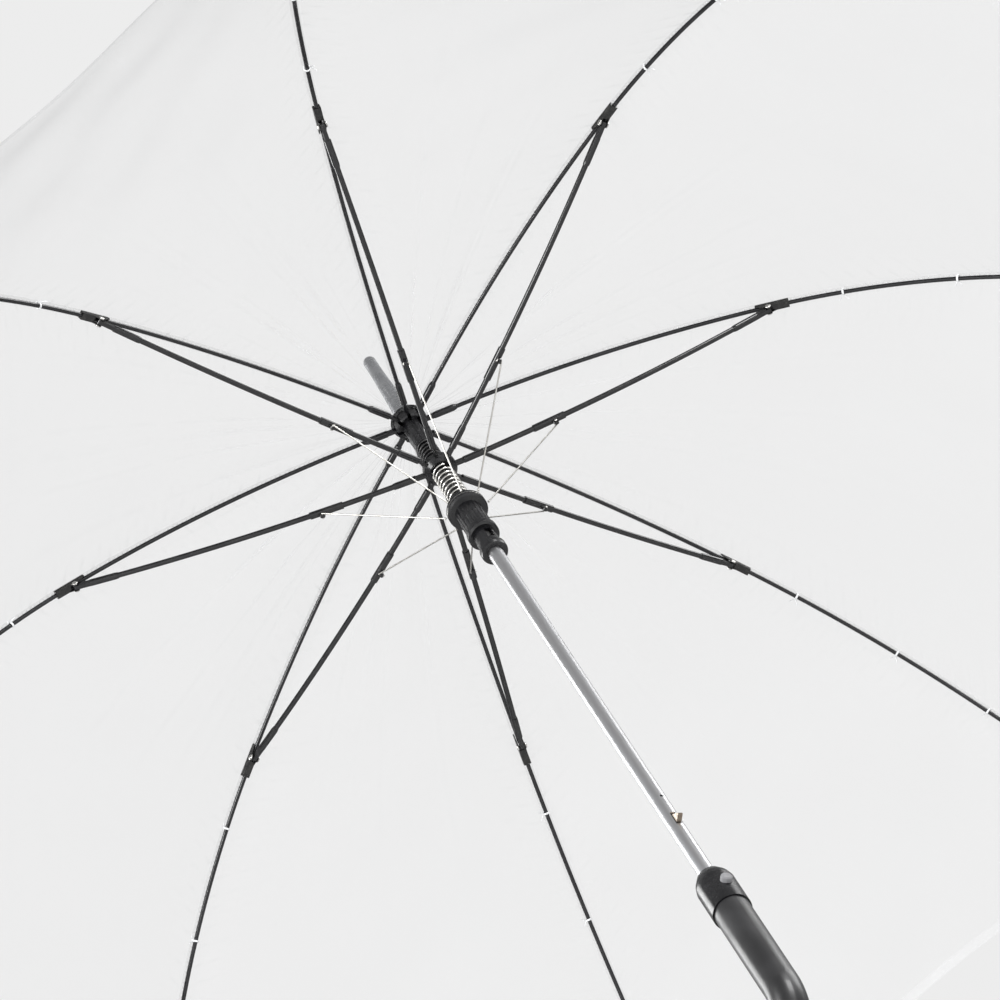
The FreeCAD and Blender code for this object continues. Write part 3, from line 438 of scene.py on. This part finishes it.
def film_grid(arm, start, end, rows, edge_dip):
    """Half gores on both sides of a rib. At each distance along the rib, the film runs straight
    to the next rib's line, less a sag that is widest at mid gore, plus the relief. The last
    row is drawn in towards mid gore by the edge's dip."""
    across = np.linspace(-1, 1, FILM_COLUMNS + 1)[None, :]
    down = np.linspace(0, 1, rows + 1)[:, None]
    width = np.abs(across)
    reach = end - edge_dip * width * (2 - width)
    distance = start + (reach - start) * down
    radius, height, heading = rib_curve(distance)
    half = width / 2
    flat_x = 1 - half * (1 - math.cos(GORE_ANGLE))
    flat_y = half * math.sin(GORE_ANGLE) * np.sign(across)
    gap = np.abs(flat_y) * radius
    relief, film_glint = np.zeros_like(distance), np.zeros_like(distance)
    for side, gore in ((1, arm - 1), (-1, arm - 2)):
        share = np.where(side > 0, half, 1 - half) + 0 * distance
        height_here, film_glint_here = film_relief(gore, distance, share, gap)
        relief = np.where(across * side >= 0, height_here, relief)
        film_glint = np.where(across * side >= 0, film_glint_here, film_glint)
    crown = 1 - np.clip((distance + pin_radius) / CROWN_REACH, 0, 1) ** 2
    lift = FILM_RISE + CROWN_RISE * crown + relief
    depth = lift - SAG * np.sin(np.pi * np.clip(distance / RIB_LENGTH, 0, 1)) ** 0.7 * (
        4 * half * (1 - half))
    radius = radius - depth * np.sin(heading)
    height = height + depth * np.cos(heading)
    turn = math.atan2(*reversed(joints[f"rib_{arm}_fold"]["pos_m"][:2]))
    x, y = radius * flat_x, radius * flat_y
    points = np.stack([x * math.cos(turn) - y * math.sin(turn),
                       x * math.sin(turn) + y * math.cos(turn), height], -1)
    return points, {"seam_gap": gap, "hem_gap": reach - distance + 0 * across,
                    "along": distance + 0 * across, "film_glint": film_glint}


def film_material():
    """Clear film: alpha is low face on and higher at a grazing look. A sewn seam band beside the rib
    with its stitches, a doubled hem, cloudy patches and painted highlights add to it. The painted
    highlights are white glints along the folds and puckers, and they also turn the colour white."""
    material = bpy.data.materials.new("clear_film")
    material.use_nodes = True
    tree = material.node_tree
    shader = tree.nodes["Principled BSDF"]
    place = add(tree, "ShaderNodeTexCoord").outputs["Object"]
    gap = add(tree, "ShaderNodeAttribute", attribute_name="seam_gap").outputs["Fac"]
    hem = add(tree, "ShaderNodeAttribute", attribute_name="hem_gap").outputs["Fac"]
    along = add(tree, "ShaderNodeAttribute", attribute_name="along").outputs["Fac"]
    seam = add(tree, "ShaderNodeMapRange", {"Value": gap, "From Min": 0.0032,
                                            "From Max": 0.0024, "To Max": 0.16}).outputs[0]
    turned = add(tree, "ShaderNodeMapRange", {"Value": hem, "From Min": 0.0072,
                                              "From Max": 0.0066, "To Max": 0.14}).outputs[0]
    pitch = add(tree, "ShaderNodeMath", {0: along, 1: 1800.0}, operation="MULTIPLY").outputs[0]
    stitch = add(tree, "ShaderNodeMath", {0: pitch}, operation="SINE").outputs[0]
    line = add(tree, "ShaderNodeMapRange", {"Value": gap, "From Min": 0.0011,
                                            "From Max": 0.0008, "To Max": 0.3}).outputs[0]
    stitches = add(tree, "ShaderNodeMath", {0: line, 1: stitch}, operation="MULTIPLY",
                   use_clamp=True).outputs[0]
    cloud = add(tree, "ShaderNodeTexNoise", {"Vector": place, "Scale": 9.0, "Detail": 4.0,
                                             "Distortion": 0.6}).outputs[0]
    haze = add(tree, "ShaderNodeMapRange", {"Value": cloud, "From Min": 0.35, "From Max": 0.75,
                                            "To Min": 0.03, "To Max": 0.09}).outputs[0]
    grazing = add(tree, "ShaderNodeLayerWeight", {"Blend": 0.5}).outputs["Facing"]
    steep = add(tree, "ShaderNodeMath", {0: grazing, 1: 4.0}, operation="POWER").outputs[0]
    facing = add(tree, "ShaderNodeMath", {0: steep, 1: 0.5}, operation="MULTIPLY").outputs[0]
    # Painted highlight: the glint attribute raises the alpha and turns the film's colour white along
    # the folds and puckers.
    glint_attribute = add(tree, "ShaderNodeAttribute", attribute_name="film_glint").outputs["Fac"]
    painted_glint = add(tree, "ShaderNodeMath", {0: glint_attribute, 1: 0.5}, operation="MULTIPLY",
                use_clamp=True).outputs[0]
    amount = haze
    for extra in (seam, turned, stitches, facing, painted_glint):
        amount = add(tree, "ShaderNodeMath", {0: amount, 1: extra}, operation="ADD",
                     use_clamp=True).outputs[0]
    wrinkle = add(tree, "ShaderNodeTexNoise", {"Vector": place, "Scale": 20.0, "Detail": 3.0,
                                               "Roughness": 0.4,
                                               "Distortion": 0.8}).outputs[0]
    relief = add(tree, "ShaderNodeBump", {"Strength": 0.3, "Distance": 0.0012,
                                          "Height": wrinkle}).outputs[0]
    scuffs = add(tree, "ShaderNodeTexNoise", {"Vector": place, "Scale": 120.0,
                                              "Detail": 5.0}).outputs[0]
    rough = add(tree, "ShaderNodeMapRange", {"Value": scuffs, "From Min": 0.3, "From Max": 0.7,
                                             "To Min": 0.12, "To Max": 0.26}).outputs[0]
    clear = add(tree, "ShaderNodeMix", {0: cloud, 6: (0.70, 0.71, 0.72, 1),
                                        7: (0.84, 0.85, 0.86, 1)}, data_type="RGBA").outputs[2]
    shade = add(tree, "ShaderNodeMix", {0: painted_glint, 6: clear, 7: (0.97, 0.98, 0.98, 1)},
                data_type="RGBA").outputs[2]
    tree.links.new(shade, shader.inputs["Base Color"])
    tree.links.new(rough, shader.inputs["Roughness"])
    tree.links.new(relief, shader.inputs["Normal"])
    tree.links.new(amount, shader.inputs["Alpha"])
    shader.inputs["IOR"].default_value = 1.5
    shader.inputs["Coat Weight"].default_value = 0.4
    shader.inputs["Coat Roughness"].default_value = 0.12
    return material


clear_film = film_material()
for arm in range(1, len(numbered("rib")) + 1):
    for stem, body, start, end, rows, dip in (
            ("film_inner", f"rib_{arm}", HOLE_RADIUS - pin_radius, INNER_LENGTH, 96, 0.0),
            ("film_outer", f"outer_rib_{arm}", INNER_LENGTH, RIB_LENGTH, 128, EDGE_DIP)):
        points, marks = film_grid(arm, start, end, rows, dip)
        if dip == 0:
            marks["hem_gap"] = marks["hem_gap"] + RIB_LENGTH
        gore = make_piece(f"{stem}_{arm}", [points], clear_film, body, marks)
        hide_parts("canopy")
        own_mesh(gore)


# ---------------------------------------------------------------- seam ties
# The film is tied to each outer rib at three places with short loops of clear thread.
# Each tie is three turns round the rod and up to the seam, with two cut tails.
TIE_PLACES = (0.052, 0.131, 0.205)
TIE_WIRE = 0.00032
TIE_TURNS = 3
TIE_HALF_WIDTH = 0.0019
TIE_HALF_HEIGHT = 0.0026
TIE_LIFT = 0.0007
TIE_LENGTH = 0.0011
tie_thread = finish("tie_thread", (0.86, 0.87, 0.88, 1), (0.70, 0.71, 0.72, 1), 0.25, 0.45,
                    5200.0, 500.0, bump=0.4, coat_weight=0.5)


def tube(path, radius, sides=8):
    """A round thread: a ring of the given radius carried along the path's points, square to it,
    with both ends drawn in to a point."""
    path = np.asarray(path)
    run = np.gradient(path, axis=0)
    run /= np.linalg.norm(run, axis=1)[:, None]
    guide = np.where(np.abs(run[:, 2:]) > 0.9, [[1.0, 0.0, 0.0]], [[0.0, 0.0, 1.0]])
    first = np.cross(run, guide)
    first /= np.linalg.norm(first, axis=1)[:, None]
    second = np.cross(run, first)
    size = np.full(len(path), radius)
    size[[0, -1]] = 0.0
    turn = np.linspace(2 * np.pi, 0, sides + 1)[None, :, None]
    ring = first[:, None] * np.cos(turn) + second[:, None] * np.sin(turn)
    return path[:, None] + ring * size[:, None, None]


def tie_paths(distance, seed):
    """Paths of one tie in the rib's own plane: turns round the rod that reach up to the film,
    and two tails that curl away from the knot. Columns are along, across and up."""
    wobble = np.random.default_rng(seed)
    turn = np.linspace(0, 2 * np.pi * TIE_TURNS, 26 * TIE_TURNS)
    loop = np.stack([TIE_LENGTH * (turn / turn[-1] - 0.5), TIE_HALF_WIDTH * np.cos(turn),
                     TIE_LIFT + TIE_HALF_HEIGHT * np.sin(turn)], -1)
    paths = [loop]
    for side in (-1, 1):
        step = np.linspace(0, 1, 14)
        lean = wobble.uniform(-0.4, 0.4)
        paths.append(np.stack([side * 0.0032 * step + 0.0012 * lean * step ** 2,
                               TIE_HALF_WIDTH + (0.003 + 0.0012 * lean) * step,
                               0.0004 - 0.0028 * step ** 2 + 0.0008 * lean], -1))
    radius, height, heading = (float(v[0]) for v in rib_curve(np.array([distance])))
    forward = np.array([math.cos(heading), 0.0, math.sin(heading)])
    upward = np.array([-math.sin(heading), 0.0, math.cos(heading)])
    basis = np.stack([forward, [0.0, 1.0, 0.0], upward])
    return [np.array([radius, 0.0, height]) + path @ basis for path in paths]


for arm in range(1, len(numbered("rib")) + 1):
    turn = math.atan2(*reversed(joints[f"rib_{arm}_fold"]["pos_m"][:2]))
    spin = np.array([[math.cos(turn), math.sin(turn), 0], [-math.sin(turn), math.cos(turn), 0],
                     [0, 0, 1]])
    threads = [tube(path @ spin, TIE_WIRE) for number, place in enumerate(TIE_PLACES)
               for path in tie_paths(INNER_LENGTH + place, 10 * arm + number)]
    make_piece(f"seam_ties_{arm}", threads, tie_thread, f"outer_rib_{arm}")


# ---------------------------------------------------------------- cap and tip
# A soft black washer closes the film's hole at the crown. The tip above it is a bright
# turned ferrule that the umbrella stands on when it is used as a stick.
cover(finish("soft_black_cap", (0.016, 0.016, 0.017, 1), (0.045, 0.045, 0.046, 1), 0.45, 0.6,
             3200.0, 90.0, bump=0.4), "canopy_cap")
cover(finish("turned_tip", (0.55, 0.56, 0.58, 1), (0.33, 0.34, 0.36, 1), 0.22, 0.38, 2600.0,
             90.0, stretch=(0.05, 0.05, 1), metallic=1.0), "tip_ferrule")


# ---------------------------------------------------------------- catch and button
# The catch is a leaf of bare spring steel, browned by heat. It stands out through the shaft's
# slot and holds the runner. A grey button in the collar draws it in.
cover(finish("spring_steel", (0.30, 0.25, 0.20, 1), (0.16, 0.12, 0.09, 1), 0.3, 0.48, 2600.0,
             240.0, metallic=1.0), "catch_leaf")
cover(finish("grey_button", (0.22, 0.22, 0.23, 1), (0.32, 0.32, 0.33, 1), 0.34, 0.5, 2600.0,
             160.0, bump=0.35), "release_button")


# ---------------------------------------------------------------- crook handle
# The handle is a bent plastic crook with a soft-touch coat, pushed on to the shaft's foot.
# The hand polishes it in patches.
cover(finish("soft_touch_handle", (0.014, 0.014, 0.015, 1), (0.034, 0.034, 0.036, 1), 0.36,
             0.55, 1700.0, 28.0, bump=0.45, depth=0.00008, coat_weight=0.1), "crook_handle")


# ---------------------------------------------------------------- studio
# A wide pale floor under the handle and soft lamps around. The floor is see-through from
# underneath, because the camera looks up into the open canopy from below it.
FLOOR_GAP = 0.002
FLOOR_HALF = 30.0
PALE = 0.845
SURROUND = 0.34
CAMERA_PLACE = (1.5125, -1.0984, -2.4924)
CAMERA_AIM = (-0.0312, 0.0497, 0.6162)
CAMERA_ROLL = -33.99
CAMERA_LENS = 198.3

floor_mesh = bpy.data.meshes.new("floor")
floor_height = cad_box[0].z - FLOOR_GAP
floor_mesh.from_pydata([(x * FLOOR_HALF, y * FLOOR_HALF, floor_height) for x, y in
                        ((-1, -1), (1, -1), (1, 1), (-1, 1))], [], [(0, 1, 2, 3)])
floor = bpy.data.objects.new("floor", floor_mesh)
bpy.context.scene.collection.objects.link(floor)
floor_material = bpy.data.materials.new("studio_floor")
floor_material.use_nodes = True
floor_tree = floor_material.node_tree
floor_shader = floor_tree.nodes["Principled BSDF"]
floor_shader.inputs["Base Color"].default_value = (0.8, 0.8, 0.8, 1)
floor_shader.inputs["Roughness"].default_value = 0.7
below = add(floor_tree, "ShaderNodeNewGeometry").outputs["Backfacing"]
clear = add(floor_tree, "ShaderNodeBsdfTransparent").outputs[0]
either = add(floor_tree, "ShaderNodeMixShader", {0: below, 1: floor_shader.outputs[0], 2: clear})
floor_tree.links.new(either.outputs[0], floor_tree.nodes["Material Output"].inputs["Surface"])
floor_mesh.materials.append(floor_material)

world = bpy.data.worlds.new("studio")
world.use_nodes = True
sky = world.node_tree.nodes["Background"]
sky.inputs["Color"].default_value = (1, 1, 1, 1)
seen = add(world.node_tree, "ShaderNodeLightPath").outputs["Is Camera Ray"]
strength = add(world.node_tree, "ShaderNodeMapRange", {"Value": seen, "To Min": SURROUND,
                                                       "To Max": PALE}).outputs[0]
world.node_tree.links.new(strength, sky.inputs["Strength"])
bpy.context.scene.world = world


def softbox(name, place, aim, size, power):
    """A square lamp that faces its aim and stays out of the camera's sight."""
    lamp = bpy.data.lights.new(name, "AREA")
    lamp.size = size
    lamp.energy = power
    stand = bpy.data.objects.new(name, lamp)
    stand.location = place
    stand.rotation_mode = "QUATERNION"
    stand.rotation_quaternion = (Vector(aim) - Vector(place)).to_track_quat("-Z", "Y")
    stand.visible_camera = False
    bpy.context.scene.collection.objects.link(stand)


crown_place = (0.0, 0.0, first_pin.z)
softbox("key_lamp", (-2.2, -2.4, 3.2), crown_place, 2.0, 95.0)
softbox("back_lamp", (1.6, 2.6, 2.6), crown_place, 1.8, 60.0)
softbox("side_lamp", (2.4, 0.4, 0.9), crown_place, 0.9, 40.0)
softbox("low_lamp", (0.5, -2.0, 0.35), crown_place, 0.8, 36.0)

camera = bpy.data.objects.new("camera", bpy.data.cameras.new("camera"))
camera.data.lens = CAMERA_LENS
camera.data.clip_end = 200.0
camera.location = CAMERA_PLACE
camera.rotation_mode = "QUATERNION"
camera.rotation_quaternion = (
    (Vector(CAMERA_AIM) - Vector(CAMERA_PLACE)).to_track_quat("-Z", "Y")
    @ Quaternion((0, 0, 1), math.radians(CAMERA_ROLL)))
bpy.context.scene.collection.objects.link(camera)
bpy.context.scene.camera = camera
bpy.context.scene.view_settings.view_transform = "Standard"
